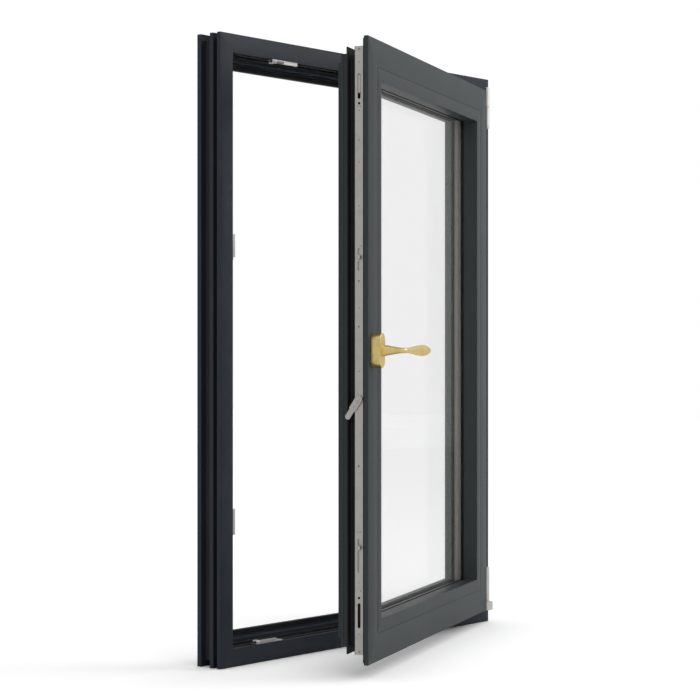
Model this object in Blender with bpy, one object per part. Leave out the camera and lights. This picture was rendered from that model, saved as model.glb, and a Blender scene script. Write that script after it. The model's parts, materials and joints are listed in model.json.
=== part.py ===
"""Inward-opening aluminium casement window, modelled piece by piece.

Frame: x runs along the window's width (centred), y runs from the room to the outdoors, z runs
up from the underside of the sill.  The origin is on the underside of the sill's room-side fin,
ORIGIN_DEPTH behind the frame's room-side face.  The sash hangs on the right and stands open
into the room by OPEN_ANGLE.

Sections are drawn as (u, d): u is the distance inwards from the outer edge of the frame or
sash, d is the depth from its room-side face.  All lengths below are in millimetres.
"""
import math

import bmesh
import bpy
from mathutils import Matrix, Vector

MM = 0.001

# ------------------------------------------------------------------ driving dimensions
WIDTH = 1070.0            # frame, outside
HEIGHT = 1500.0
ORIGIN_DEPTH = 5.0
MARGIN = 35.0             # frame face left showing outside the sash
LIP = 10.0                # thickness of the sash lip that overlaps the frame
SEAL_GAP = 5.0            # room for the overlap gasket between lip and frame face
OPEN_ANGLE = 20.5         # degrees, the sash's position at rest
GAP = 0.3                 # clearance between touching pieces

FACEPLATE_S = 20.0        # hardware face, from the lip edge
FACEPLATE_E = (19.0, 38.8)

HINGE_U = 25.0            # hinge axis from the outer edge of the frame
HINGE_Y = -14.0
BARREL_R = 6.5
PIN_R = 3.2

GLASS_S = 77.0            # edge of the glass, from the lip edge
PANE_E = ((43.0, 47.0), (67.0, 71.0))

HANDLE_S = 32.0           # spindle, from the lip edge
ROSETTE = (36.0, 80.0, 24.0)
STROKE = 16.0             # travel of the locking rods for a quarter turn of the handle
ROD_S = (23.2, 25.6)
ROD_E = (24.2, 33.8)
CAM_E = 29.0

MID = HEIGHT / 2
SASH_H = HEIGHT - 2 * MARGIN
SASH_X0 = -WIDTH / 2 + MARGIN
SASH_X1 = WIDTH / 2 - MARGIN
SASH_Y = -(LIP + SEAL_GAP)
AXIS = Vector((WIDTH / 2 - HINGE_U, HINGE_Y, 0.0))

# heights of the hardware, from mid-height
JAMB_KEEPERS = {"upper": (214.0, 276.0), "lower": (-437.0, -375.0)}
UPPER_WALL_LOW = 221.0    # the upper keeper's wall starts above the open cam's place
JAMB_CAMS = {"upper": 213.0, "lower": -450.0}
TOP_SLEEVE = (612.0, 725.0)
BOTTOM_SLEEVE = (-691.0, -597.0)
BEARING = (-716.0, -691.6)
BEARING_R = 9.0           # the bottom bearing is a stouter barrel with a block beside it
BEARING_BLOCK = 15.0
# keepers in the head and the sill, from the left edge of the frame
HEAD_KEEPER = (184.0, 275.0)
SILL_KEEPER = (127.0, 221.0)
# the cams' places along those keepers; locking moves one towards the hinge, one away
HEAD_CAM = 30.0
SILL_CAM = 79.0
WALL_CLEAR = 10.0         # from an open cam's middle to the wall it locks behind
ROD_END = 60.0            # rods reach this far past a cam, and start this far from the corner
DRIVE_REACH = 560.0       # half the drive rod's length
FACEPLATE_REACH = 695.0
# the faceplate's other slots and its screw holes, from mid-height
FACEPLATE_SLOTS = [(182.0, 204.0), (-507.0, -456.0), (-634.0, -577.0), (574.0, 632.0)]
FACEPLATE_HOLES = (688.0, 158.0, 54.0, -264.0, -688.0)
FACEPLATE_SQUARES = (564.0, -565.0)
SLOT_WIDTH = 7.0
HOLE_R = 2.6
SQUARE_HALF = 2.6
BLOCK_INSET = 170.0       # glazing packers, from the sash's corners to their middles
BLOCK_HALF = 50.0

# ------------------------------------------------------------------ sections (u, d) in mm
FRAME_INNER = [(0, 0), (43.5, 0), (43.5, 9.5), (36, 9.5), (36, 25.5), (43.5, 25.5), (43.5, 34.8),
               (0, 34.8), (0, 25), (14.5, 25), (14.5, 9.5), (0, 9.5)]
FRAME_BREAK = [(14.5, 35.1), (44, 35.1), (44, 49.7), (18, 49.7), (18, 64.2), (14.5, 64.2)]
FRAME_OUTER = [(18.3, 50), (56, 50), (56, 67), (74, 67), (74, 76), (0, 76), (0, 64.5), (18.3, 64.5)]
CENTRE_GASKET = [(44.3, 35.6), (46.5, 35.6), (50.6, 38.5), (50.6, 41.2), (47.5, 42), (47, 49.4),
                 (44.3, 49.4)]
STOP_GASKET = [(62, 64.2), (72.5, 64.2), (73.5, 66.7), (62, 66.7)]

SASH_INNER = [(0, 0), (63.5, 0), (63.5, 40), (20, 40), (20, 39), (22.8, 39), (22.8, 34.4),
              (33, 34.4), (33, 23.6), (22.8, 23.6), (22.8, 18.7), (20, 18.7), (20, 10), (0, 10)]
SASH_BREAK = [(42, 40.3), (66, 40.3), (66, 59.7), (20, 59.7), (20, 57), (42, 57)]
SASH_OUTER = [(34, 60), (68, 60), (68, 75.3), (94.5, 75.3), (94.5, 91), (52, 91), (52, 78.5),
              (34, 78.5)]
BEAD = [(63.8, 0), (94.5, 0), (94.5, 39), (80, 39), (80, 30), (63.8, 30)]
OVERLAP_GASKET = [(3, 10.3), (8.2, 10.3), (8.2, 12.2), (6.6, 14.5), (4.6, 14.5), (3, 12.2)]
INNER_GLAZING_GASKET = [(82, 39.3), (94, 39.3), (94.8, 42.7), (82, 42.7)]
OUTER_GLAZING_GASKET = [(80, 71.3), (94.8, 71.3), (94, 75), (80, 75)]
SPACER = [(77.6, 47.2), (88.5, 47.2), (88.5, 66.8), (77.6, 66.8)]

# ------------------------------------------------------------------ colours and finishes
FINISHES = {
    "powder_coat": ((0.045, 0.055, 0.075), 0.45, 0.0),
    "thermal_break": ((0.06, 0.052, 0.045), 0.7, 0.0),
    "rubber": ((0.01, 0.01, 0.01), 0.8, 0.0),
    "glass": ((0.9, 0.95, 0.95), 0.02, 0.0),
    "spacer": ((0.25, 0.24, 0.22), 0.5, 0.2),
    "steel": ((0.5, 0.49, 0.47), 0.35, 0.9),
    "brass": ((0.75, 0.58, 0.2), 0.3, 0.9),
    "plastic": ((0.02, 0.02, 0.02), 0.6, 0.0),
}


def finish(name):
    """One Principled material for each finish."""
    found = bpy.data.materials.get(name)
    if found:
        return found
    colour, rough, metal = FINISHES[name]
    made = bpy.data.materials.new(name)
    made.use_nodes = True
    shader = made.node_tree.nodes["Principled BSDF"]
    shader.inputs["Base Color"].default_value = (*colour, 1.0)
    shader.inputs["Roughness"].default_value = rough
    shader.inputs["Metallic"].default_value = metal
    return made


def clear_scene():
    for old in list(bpy.data.objects):
        bpy.data.objects.remove(old, do_unlink=True)


# ------------------------------------------------------------------ carriers
class Carrier:
    """A place that pieces hang from: an empty, and the closed-window point it stands for."""

    def __init__(self, name, origin, parent=None):
        self.origin = Vector(origin)
        self.empty = bpy.data.objects.new(name, None)
        bpy.context.collection.objects.link(self.empty)
        base = parent.origin if parent else Vector((0, 0, 0))
        self.empty.parent = parent.empty if parent else None
        self.empty.location = (self.origin - base) * MM


def add(name, verts, faces, material, carrier, smooth=False):
    """A mesh object from closed-window millimetre points, hung from its carrier."""
    mesh = bpy.data.meshes.new(name)
    mesh.from_pydata([tuple((Vector(v) - carrier.origin) * MM) for v in verts], [], faces)
    work = bmesh.new()
    work.from_mesh(mesh)
    bmesh.ops.recalc_face_normals(work, faces=work.faces)
    work.to_mesh(mesh)
    work.free()
    made = bpy.data.objects.new(name, mesh)
    made.data.materials.append(finish(material))
    bpy.context.collection.objects.link(made)
    made.parent = carrier.empty
    if smooth:
        mesh.shade_smooth()
        mesh.set_sharp_from_angle(angle=math.radians(40))
    return made


def prism(name, outline, axis, low, high, material, carrier, smooth=False):
    """An outline given in the two other axes, extruded along one axis (0, 1 or 2)."""
    count = len(outline)
    verts = []
    for level in (low, high):
        for a, b in outline:
            point = [a, b]
            point.insert(axis, level)
            verts.append(tuple(point))
    faces = [list(range(count)), list(range(count, 2 * count))]
    faces += [[i, (i + 1) % count, count + (i + 1) % count, count + i] for i in range(count)]
    return add(name, verts, faces, material, carrier, smooth)


def block(name, low, high, material, carrier):
    outline = [(low[0], low[1]), (high[0], low[1]), (high[0], high[1]), (low[0], high[1])]
    return prism(name, outline, 2, low[2], high[2], material, carrier)


def circle(centre, radius, count=24, start=0.0):
    """Points round a circle."""
    step = 2 * math.pi / count
    return [(centre[0] + radius * math.cos(start + i * step),
             centre[1] + radius * math.sin(start + i * step)) for i in range(count)]


def stadium(centre, width, height, count=12):
    """A slot shape: straight sides with half-round ends above and below."""
    radius = width / 2
    reach = height / 2 - radius
    points = []
    for sign, start in ((1, 0.0), (-1, math.pi)):
        for i in range(count + 1):
            angle = start + math.pi * i / count
            points.append((centre[0] + radius * math.cos(angle),
                           centre[1] + sign * reach + radius * math.sin(angle)))
    return points


def boolean(target, tool, operation):
    """Join or cut with a helper solid that the render leaves out."""
    tool.hide_render = True
    tool.display_type = "WIRE"
    step = target.modifiers.new(operation.lower() + "_" + tool.name, "BOOLEAN")
    step.operation = operation
    step.solver = "EXACT"
    step.object = tool


def cut(target, tool):
    boolean(target, tool, "DIFFERENCE")


def join(target, tool):
    boolean(target, tool, "UNION")


# ------------------------------------------------------------------ frames of mitred members
SIDES = ("left", "right", "head", "sill")


def member(name, section, side, box, y0, material, carrier):
    """One mitred side of a rectangle: box is (x0, x1, z0, z1), section is (u, d)."""
    x0, x1, z0, z1 = box
    half = GAP / 2
    ends = []
    for end in (0, 1):
        loop = []
        for u, d in section:
            run = u + half
            if side in ("left", "right"):
                x = x0 + u if side == "left" else x1 - u
                z = z0 + run if end == 0 else z1 - run
            else:
                z = z1 - u if side == "head" else z0 + u
                x = x0 + run if end == 0 else x1 - run
            loop.append((x, y0 + d, z))
        ends.append(loop)
    count = len(section)
    faces = [list(range(count)), list(range(count, 2 * count))]
    faces += [[i, (i + 1) % count, count + (i + 1) % count, count + i] for i in range(count)]
    return add(name, ends[0] + ends[1], faces, material, carrier)


def ring(name, section, box, y0, material, carrier):
    """A section carried once round a rectangle, as one endless piece."""
    x0, x1, z0, z1 = box
    verts = []
    for right, top in ((0, 0), (1, 0), (1, 1), (0, 1)):
        for u, d in section:
            x = x1 - u if right else x0 + u
            z = z1 - u if top else z0 + u
            verts.append((x, y0 + d, z))
    count = len(section)
    faces = []
    for corner in range(4):
        here, there = corner * count, ((corner + 1) % 4) * count
        faces += [[here + i, here + (i + 1) % count, there + (i + 1) % count, there + i]
                  for i in range(count)]
    return add(name, verts, faces, material, carrier)


FRAME_BOX = (-WIDTH / 2, WIDTH / 2, 0.0, HEIGHT)
SASH_BOX = (SASH_X0, SASH_X1, MARGIN, HEIGHT - MARGIN)


# ------------------------------------------------------------------ fixed frame
def build_frame(root):
    for side in SIDES:
        member("frame_inner_" + side, FRAME_INNER, side, FRAME_BOX, 0.0, "powder_coat", root)
        member("frame_outer_" + side, FRAME_OUTER, side, FRAME_BOX, 0.0, "powder_coat", root)
    ring("frame_thermal_break", FRAME_BREAK, FRAME_BOX, 0.0, "thermal_break", root)
    ring("frame_centre_gasket", CENTRE_GASKET, FRAME_BOX, 0.0, "rubber", root)
    ring("frame_stop_gasket", STOP_GASKET, FRAME_BOX, 0.0, "rubber", root)


KEEPER_U = (43.8, 52.5)
KEEPER_D = (1.0, 22.0)
KEEPER_FLOOR = 2.4
KEEPER_WALL = 4.6


def keeper(name, place, low, high, wall_low, wall_high, root):
    """A hook-sided keeper: a floor plate, and a wall that the locking cam slides behind.

    place(u, y, run) gives the world point for a height u off the frame's outer edge.
    """
    u0, u1 = KEEPER_U
    d0, d1 = KEEPER_D

    def solid(label, ulow, uhigh, dlow, dhigh, rlow, rhigh):
        a = place(ulow, dlow, rlow)
        b = place(uhigh, dhigh, rhigh)
        lo = tuple(min(p, q) for p, q in zip(a, b))
        hi = tuple(max(p, q) for p, q in zip(a, b))
        return block(label, lo, hi, "steel", root)

    made = solid(name, u0, u0 + KEEPER_FLOOR, d0, d1, low, high)
    join(made, solid(name + "_wall_tool", u0 + 0.5, u1, d0, d0 + KEEPER_WALL, wall_low, wall_high))
    for i, part in enumerate((0.22, 0.78)):
        run = low + (high - low) * part
        cut(made, solid(f"{name}_hole_tool_{i}", u0 - 1, u0 + 4, 10.5, 15.5, run - 2.5, run + 2.5))
    return made


def build_keepers(root):
    half = WIDTH / 2
    for label, (low, high) in JAMB_KEEPERS.items():
        wall_low = UPPER_WALL_LOW if label == "upper" else low
        keeper("keeper_jamb_" + label, lambda u, y, r: (-half + u, y, MID + r),
               low, high, wall_low, high, root)
    keeper("keeper_head", lambda u, y, r: (-half + r, y, HEIGHT - u),
           *HEAD_KEEPER, HEAD_KEEPER[0] + HEAD_CAM + WALL_CLEAR, HEAD_KEEPER[1], root)
    keeper("keeper_sill", lambda u, y, r: (-half + r, y, u),
           *SILL_KEEPER, SILL_KEEPER[0], SILL_KEEPER[0] + SILL_CAM - WALL_CLEAR, root)


# ------------------------------------------------------------------ sash
def sash_point(s, e, z):
    """Closed-window point on the lock side: s from the lip edge, e from the room-side face."""
    return (SASH_X0 + s, SASH_Y + e, z)


def sash_block(name, s, e, z, material, carrier):
    return block(name, sash_point(s[0], e[0], z[0]), sash_point(s[1], e[1], z[1]), material, carrier)


def build_sash(sash):
    lock_stile = None
    for side in SIDES:
        inner = member("sash_inner_" + side, SASH_INNER, side, SASH_BOX, SASH_Y, "powder_coat", sash)
        member("sash_outer_" + side, SASH_OUTER, side, SASH_BOX, SASH_Y, "powder_coat", sash)
        member("glazing_bead_" + side, BEAD, side, SASH_BOX, SASH_Y, "powder_coat", sash)
        if side == "left":
            lock_stile = inner
    ring("sash_thermal_break", SASH_BREAK, SASH_BOX, SASH_Y, "thermal_break", sash)
    ring("sash_overlap_gasket", OVERLAP_GASKET, SASH_BOX, SASH_Y, "rubber", sash)
    ring("glazing_gasket_inner", INNER_GLAZING_GASKET, SASH_BOX, SASH_Y, "rubber", sash)
    ring("glazing_gasket_outer", OUTER_GLAZING_GASKET, SASH_BOX, SASH_Y, "rubber", sash)
    ring("pane_spacer", SPACER, SASH_BOX, SASH_Y, "spacer", sash)
    for label, (near, far) in zip(("inner", "outer"), PANE_E):
        block("pane_" + label, (SASH_X0 + GLASS_S, SASH_Y + near, MARGIN + GLASS_S),
              (SASH_X1 - GLASS_S, SASH_Y + far, HEIGHT - MARGIN - GLASS_S), "glass", sash)
    for label, x in (("lock", SASH_X0 + BLOCK_INSET), ("hinge", SASH_X1 - BLOCK_INSET)):
        block("setting_block_" + label, (x - BLOCK_HALF, SASH_Y + PANE_E[0][0], MARGIN + 68.4),
              (x + BLOCK_HALF, SASH_Y + PANE_E[1][1], MARGIN + GLASS_S - GAP), "plastic", sash)
    return lock_stile


GEAR_R = 6.0
CASE_S = (26.2, 39.4)
CASE_E = (21.2, 37.4)
CASE_Z = 42.0
SPINDLE = 2.6             # half side of the square spindle
SCREW_Z = 27.0


def y_cylinder(name, s, z, radius, e_low, e_high, material, carrier, count=24):
    """A cylinder square to the sash's face."""
    centre = (SASH_X0 + s, z)
    return prism(name, circle(centre, radius, count), 1, SASH_Y + e_low, SASH_Y + e_high,
                 material, carrier, smooth=True)


def x_cylinder(name, e, z, radius, s_low, s_high, material, carrier, count=20):
    """A cylinder square to the hardware face of the lock stile."""
    centre = (SASH_Y + e, z)
    return prism(name, circle(centre, radius, count), 0, SASH_X0 + s_low, SASH_X0 + s_high,
                 material, carrier, smooth=True)


def build_gearbox(sash, handle, lock_stile):
    # room in the profile for the gearbox, its spindle and the rosette screws
    cut(lock_stile, sash_block("gear_pocket_tool", (22, 39.8), (20.8, 37.8), (MID - 43, MID + 43),
                               "steel", sash))
    cut(lock_stile, y_cylinder("spindle_hole_tool", HANDLE_S, MID, 5.0, -5, 25, "steel", sash))
    for sign in (-1, 1):
        cut(lock_stile, y_cylinder(f"screw_hole_tool_{sign + 1}", HANDLE_S, MID + sign * SCREW_Z,
                                   2.4, -5, 16, "steel", sash, 16))
    case = sash_block("gearbox_case", CASE_S, CASE_E, (MID - CASE_Z, MID + CASE_Z), "steel", sash)
    cut(case, y_cylinder("gear_bore_tool", HANDLE_S, MID, GEAR_R + 0.6, 15, 45, "steel", sash))

    # toothed pinion on the spindle
    teeth = 14
    outline = []
    for i in range(teeth):
        for turn, radius in ((0.0, 4.9), (0.3, 4.9), (0.45, GEAR_R), (0.75, GEAR_R)):
            angle = 2 * math.pi * (i + turn) / teeth
            outline.append((SASH_X0 + HANDLE_S + radius * math.cos(angle),
                            MID + radius * math.sin(angle)))
    pinion = prism("pinion", outline, 1, SASH_Y + 24.4, SASH_Y + 33.6, "steel", handle)
    side = SPINDLE + 0.25
    cut(pinion, block("pinion_bore_tool", (SASH_X0 + HANDLE_S - side, SASH_Y + 20, MID - side),
                      (SASH_X0 + HANDLE_S + side, SASH_Y + 40, MID + side), "steel", handle))
    block("handle_spindle", (SASH_X0 + HANDLE_S - SPINDLE, SASH_Y - ROSETTE[2] - 10, MID - SPINDLE),
          (SASH_X0 + HANDLE_S + SPINDLE, SASH_Y + 34.5, MID + SPINDLE), "steel", handle)


def build_rosette(sash):
    width, height, thick = ROSETTE
    centre = (SASH_X0 + HANDLE_S, MID)
    cover = prism("rosette_cover", stadium(centre, width, height), 1, SASH_Y - thick, SASH_Y - GAP,
                  "brass", sash, smooth=True)
    cut(cover, prism("cover_hollow_tool", stadium(centre, width - 4, height - 4), 1,
                     SASH_Y - thick + 2, SASH_Y + 5, "brass", sash))
    cut(cover, y_cylinder("cover_hole_tool", HANDLE_S, MID, 6.0, -thick - 5, 0, "brass", sash))
    base = prism("rosette_base", stadium(centre, width - 4.8, height - 4.8), 1, SASH_Y - 12,
                 SASH_Y - GAP, "steel", sash, smooth=True)
    cut(base, y_cylinder("base_hole_tool", HANDLE_S, MID, 5.2, -20, 5, "steel", sash))
    for i, sign in enumerate((-1, 1)):
        z = MID + sign * SCREW_Z
        cut(base, y_cylinder(f"base_screw_tool_{i}", HANDLE_S, z, 2.4, -20, 5, "steel", sash, 16))
        screw = y_cylinder("rosette_screw_" + ("lower", "upper")[i], HANDLE_S, z, 2.0, -13, 14,
                           "steel", sash, 16)
        join(screw, y_cylinder(f"screw_head_tool_{i}", HANDLE_S, z, 4.2, -15, -12.4, "steel", sash))


PADDLE = 0.66             # the grip is widest at this share of its length


def lever_rings():
    """Centre, half height and half thickness along the handle's spine, neck then grip.

    The spine leaves the rosette square to the sash, turns through a quarter circle and runs
    along the sash as a grip that widens to a rounded paddle.
    """
    rows = []
    root = -ROSETTE[2] - GAP
    bend = 12.0
    depth = -76.0
    for i in range(9):
        t = i / 8
        e = root + (depth + bend - root) * t
        rows.append(((0.0, e), (0.0, -1.0), 14.3 - 7.6 * t ** 0.8, 9.5 - 3.2 * t))
    for i in range(1, 7):
        angle = math.radians(84) * i / 6
        centre = (bend * (1 - math.cos(angle)), depth + bend - bend * math.sin(angle))
        rows.append((centre, (math.sin(angle), -math.cos(angle)), 6.6 - 0.1 * i, 6.3 - 0.2 * i))
    start = rows[-1][0]
    length = 133.0
    slope = math.radians(7.5)
    for i in range(1, 17):
        t = i / 16
        reach = length * math.sin(t * math.pi / 2) ** 0.9
        centre = (start[0] + reach * math.cos(slope), start[1] - reach * math.sin(slope))
        along = reach / length
        swell = 5.6 + 7.2 * math.sin(math.pi / 2 * min(along / PADDLE, 1.0)) ** 2
        tip = math.sqrt(max(1 - (max(along - PADDLE, 0) / (1 - PADDLE)) ** 2, 0.0))
        rows.append((centre, (math.cos(slope), -math.sin(slope)),
                     max(swell * tip, 0.4), max((5.0 - 0.8 * along) * (0.25 + 0.75 * tip), 0.4)))
    return rows


def build_lever(handle):
    """The handle: elliptical rings set square to the spine, closed at both ends."""
    count = 20
    verts = []
    rows = lever_rings()
    for (s, e), (ds, de), tall, thick in rows:
        side = (-de, ds)
        for i in range(count):
            angle = 2 * math.pi * i / count
            across = thick * math.cos(angle)
            verts.append((SASH_X0 + HANDLE_S + s + side[0] * across,
                          SASH_Y + e + side[1] * across, MID + tall * math.sin(angle)))
    faces = [list(range(count)), list(range(len(verts) - count, len(verts)))]
    for r in range(len(rows) - 1):
        here, there = r * count, (r + 1) * count
        faces += [[here + i, here + (i + 1) % count, there + (i + 1) % count, there + i]
                  for i in range(count)]
    lever = add("handle_lever", verts, faces, "brass", handle, smooth=True)
    side = SPINDLE + 0.25
    cut(lever, block("lever_socket_tool",
                     (SASH_X0 + HANDLE_S - side, SASH_Y - ROSETTE[2] - 11, MID - side),
                     (SASH_X0 + HANDLE_S + side, SASH_Y - 10, MID + side), "brass", handle))


STEM_R = 3.0
HEAD_R = 5.5
HEAD_S = (12.0, 14.6)


def build_rods(drive, top, bottom):
    """Locking rods in the sash groove, one down the lock stile and one each in head and sill."""
    sash_block("drive_rod", ROD_S, ROD_E, (MID - DRIVE_REACH, MID + DRIVE_REACH), "steel", drive)
    for label, height in JAMB_CAMS.items():
        z = MID + height
        cam = x_cylinder(f"cam_jamb_{label}", CAM_E, z, HEAD_R, *HEAD_S, "steel", drive)
        join(cam, x_cylinder(f"cam_stem_{label}_tool", CAM_E, z, STEM_R, HEAD_S[0] + 0.5,
                             ROD_S[0] - GAP, "steel", drive))
    for name, carrier, cam_run, top_side in (
            ("head_rod", top, HEAD_KEEPER[0] + HEAD_CAM, True),
            ("sill_rod", bottom, SILL_KEEPER[0] + SILL_CAM, False)):
        cam_x = -WIDTH / 2 + cam_run
        edge = HEIGHT - MARGIN if top_side else MARGIN
        sign = -1 if top_side else 1

        def level(s, edge=edge, sign=sign):
            return edge + sign * s

        low, high = sorted((level(ROD_S[0]), level(ROD_S[1])))
        y0, y1 = SASH_Y + ROD_E[0], SASH_Y + ROD_E[1]
        rod = block(name, (SASH_X0 + ROD_END, y0, low), (cam_x + ROD_END, y1, high), "steel",
                    carrier)
        centre = (cam_x, SASH_Y + CAM_E)
        for label, radius, s_low, s_high in (("stem", STEM_R, 12.5, 24.5),
                                             ("head", HEAD_R, HEAD_S[0], HEAD_S[1])):
            low, high = sorted((level(s_low), level(s_high)))
            join(rod, prism(f"{name}_{label}_tool", circle(centre, radius, 20), 2, low, high,
                            "steel", carrier))


def build_faceplates(sash):
    """The steel strip that covers the groove of the lock stile, with its slots and holes."""
    s = (FACEPLATE_S, FACEPLATE_S + 2.4)
    plate = sash_block("lock_faceplate", s, FACEPLATE_E,
                       (MID - FACEPLATE_REACH, MID + FACEPLATE_REACH), "steel", sash)
    slots = [(z - 4.0, z + STROKE + 4.0) for z in JAMB_CAMS.values()] + FACEPLATE_SLOTS
    for i, (low, high) in enumerate(slots):
        outline = stadium((SASH_Y + CAM_E, MID + (low + high) / 2), SLOT_WIDTH, high - low, 8)
        cut(plate, prism(f"faceplate_slot_tool_{i}", outline, 0, SASH_X0 + 15, SASH_X0 + 30,
                         "steel", sash))
    for i, height in enumerate(FACEPLATE_HOLES):
        cut(plate, x_cylinder(f"faceplate_hole_tool_{i}", CAM_E, MID + height, HOLE_R, 15, 30,
                              "steel", sash, 16))
    for i, height in enumerate(FACEPLATE_SQUARES):
        cut(plate, sash_block(f"faceplate_square_tool_{i}", (15, 30),
                              (CAM_E - SQUARE_HALF, CAM_E + SQUARE_HALF),
                              (MID + height - SQUARE_HALF, MID + height + SQUARE_HALF),
                              "steel", sash))


SAFETY_Z = -118.0
SAFETY_E = 33.5
SAFETY_ANGLE = 33.0


def build_safety_lever(sash, lever):
    """A sprung tongue on the faceplate that hangs skew while the sash is open."""
    s_low, s_high = 16.6, 19.2
    outline = []
    body, tip_r = 9.0, 6.6
    tip_z = -40.0
    for i in range(9):
        angle = math.pi * i / 8
        outline.append((body * math.cos(angle), 8.0 + body * math.sin(angle)))
    outline += [(-body, -20.0), (-tip_r, -23.0)]
    for i in range(9):
        angle = math.pi + math.pi * i / 8
        outline.append((tip_r * math.cos(angle), tip_z + tip_r * math.sin(angle)))
    outline += [(tip_r, -23.0), (body, -20.0)]
    turn = Matrix.Rotation(math.radians(SAFETY_ANGLE), 2)
    placed = []
    for a, b in outline:
        point = turn @ Vector((a, b))
        placed.append((SASH_Y + SAFETY_E + point.x, MID + SAFETY_Z + point.y))
    tongue = prism("safety_lever", placed, 0, SASH_X0 + s_low, SASH_X0 + s_high, "steel", lever)
    cut(tongue, x_cylinder("safety_bore_tool", SAFETY_E, MID + SAFETY_Z, 2.8, 10, 22, "steel", lever))
    pin = x_cylinder("safety_lever_pin", SAFETY_E, MID + SAFETY_Z, 2.4, 16, 19.7, "steel", sash)
    join(pin, x_cylinder("safety_pin_head_tool", SAFETY_E, MID + SAFETY_Z, 3.8, 15, 16.3,
                         "steel", sash))


# ------------------------------------------------------------------ hinges
def barrel(name, low, high, material, carrier, radius=BARREL_R):
    return prism(name, circle((AXIS.x, AXIS.y), radius, 28), 2, MID + low, MID + high, material,
                 carrier, smooth=True)


def bore(target, name, low, high, carrier):
    cut(target, barrel(name, low, high, "steel", carrier, PIN_R + GAP))


def build_hinges(root, sash):
    lip_edge = SASH_X1
    split = (TOP_SLEEVE[0] + TOP_SLEEVE[1]) / 2

    # fixed halves, on the frame's face
    for name, low, high, radius in (
            ("top_hinge_frame_leaf", TOP_SLEEVE[0], split - 0.3, BARREL_R),
            ("bottom_hinge_frame_leaf", *BEARING, BEARING_R)):
        leaf = barrel(name, low, high, "steel", root, radius)
        if radius == BEARING_R:
            join(leaf, block(name + "_block_tool", (AXIS.x, AXIS.y - radius, MID + low + 0.4),
                             (AXIS.x + BEARING_BLOCK, -GAP, MID + high - 0.4), "steel", root))
        join(leaf, block(name + "_neck_tool", (AXIS.x + 1, AXIS.y, MID + low + 1),
                         (AXIS.x + 7, -GAP - 1, MID + high - 1), "steel", root))
        join(leaf, block(name + "_plate_tool", (AXIS.x + 0.5, -3.2, MID + low + 0.5),
                         (AXIS.x + 20, -GAP, MID + high - 0.5), "steel", root))
        bore(leaf, name + "_bore_tool", low - 5, high + 5, root)

    # moving halves, on the edge of the sash lip
    for name, low, high in (("top_hinge_sash_leaf", split + 0.3, TOP_SLEEVE[1]),
                            ("bottom_hinge_sash_leaf", *BOTTOM_SLEEVE)):
        top = min(high, SASH_H / 2 - 1)
        leaf = barrel(name, low, high, "steel", sash)
        join(leaf, block(name + "_arm_tool", (lip_edge + GAP, SASH_Y + 1.0, MID + low + 1),
                         (AXIS.x - 1, SASH_Y + 4.0, MID + top - 1), "steel", sash))
        join(leaf, block(name + "_foot_tool", (lip_edge + GAP, SASH_Y + 0.8, MID + low + 0.5),
                         (lip_edge + 2.6, SASH_Y + 9.2, MID + top - 0.5), "steel", sash))
        bore(leaf, name + "_bore_tool", low - 5, high + 5, sash)

    barrel("top_hinge_pin", TOP_SLEEVE[0] + 1, TOP_SLEEVE[1] - 1, "steel", root, PIN_R)
    barrel("bottom_hinge_pin", BEARING[0] + 1, BOTTOM_SLEEVE[1] - 1, "steel", root, PIN_R)


def main():
    """Builds the window closed, then turns the sash open and moves the origin to the sill."""
    clear_scene()
    root = Carrier("window", (0, 0, 0))
    sash = Carrier("sash_pivot", AXIS, root)
    handle = Carrier("handle_pivot", sash_point(HANDLE_S, 0, MID), sash)
    drive = Carrier("drive_rod_slide", sash_point(CAM_E, 0, MID), sash)
    top = Carrier("head_rod_slide", sash_point(0, 0, HEIGHT - MARGIN), sash)
    bottom = Carrier("sill_rod_slide", sash_point(0, 0, MARGIN), sash)
    tongue = Carrier("safety_lever_pivot", sash_point(0, SAFETY_E, MID + SAFETY_Z), sash)

    build_frame(root)
    build_keepers(root)
    lock_stile = build_sash(sash)
    build_gearbox(sash, handle, lock_stile)
    build_rosette(sash)
    build_lever(handle)
    build_rods(drive, top, bottom)
    build_faceplates(sash)
    build_safety_lever(sash, tongue)
    build_hinges(root, sash)

    root.empty.location.y = -ORIGIN_DEPTH * MM
    sash.empty.rotation_euler = (0, 0, math.radians(OPEN_ANGLE))
    bpy.context.view_layer.update()


main()
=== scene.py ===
"""The looks of an inward-opening aluminium casement window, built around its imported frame.

Points are worked out in millimetres on the closed window: x across the width from its middle,
y from the frame's room-side face to the outdoors, z up from the underside of the sill.
settle() turns the sash's pieces about the hinge axis to where the sash stands at rest.
Sections are (u, d): u inwards from the outer edge, d in depth from the room-side face.
"""
import json
import math

import bmesh
import bpy
import numpy as np
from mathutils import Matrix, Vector


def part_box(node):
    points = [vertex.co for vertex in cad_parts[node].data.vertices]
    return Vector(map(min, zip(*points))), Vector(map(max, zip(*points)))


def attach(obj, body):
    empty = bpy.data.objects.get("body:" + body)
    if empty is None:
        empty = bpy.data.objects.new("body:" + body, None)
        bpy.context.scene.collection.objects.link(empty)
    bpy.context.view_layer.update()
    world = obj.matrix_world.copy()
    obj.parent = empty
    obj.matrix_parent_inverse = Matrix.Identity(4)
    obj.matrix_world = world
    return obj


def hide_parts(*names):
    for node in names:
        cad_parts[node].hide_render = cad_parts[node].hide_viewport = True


bl_info = {
    "name": "Casement window",
    "version": (1, 0, 0),
    "blender": (4, 5, 0),
    "location": "View3D > Sidebar > Window",
    "description": "Profiles, glass, gaskets, handle and hardware of a casement window",
    "category": "Object",
}

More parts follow.
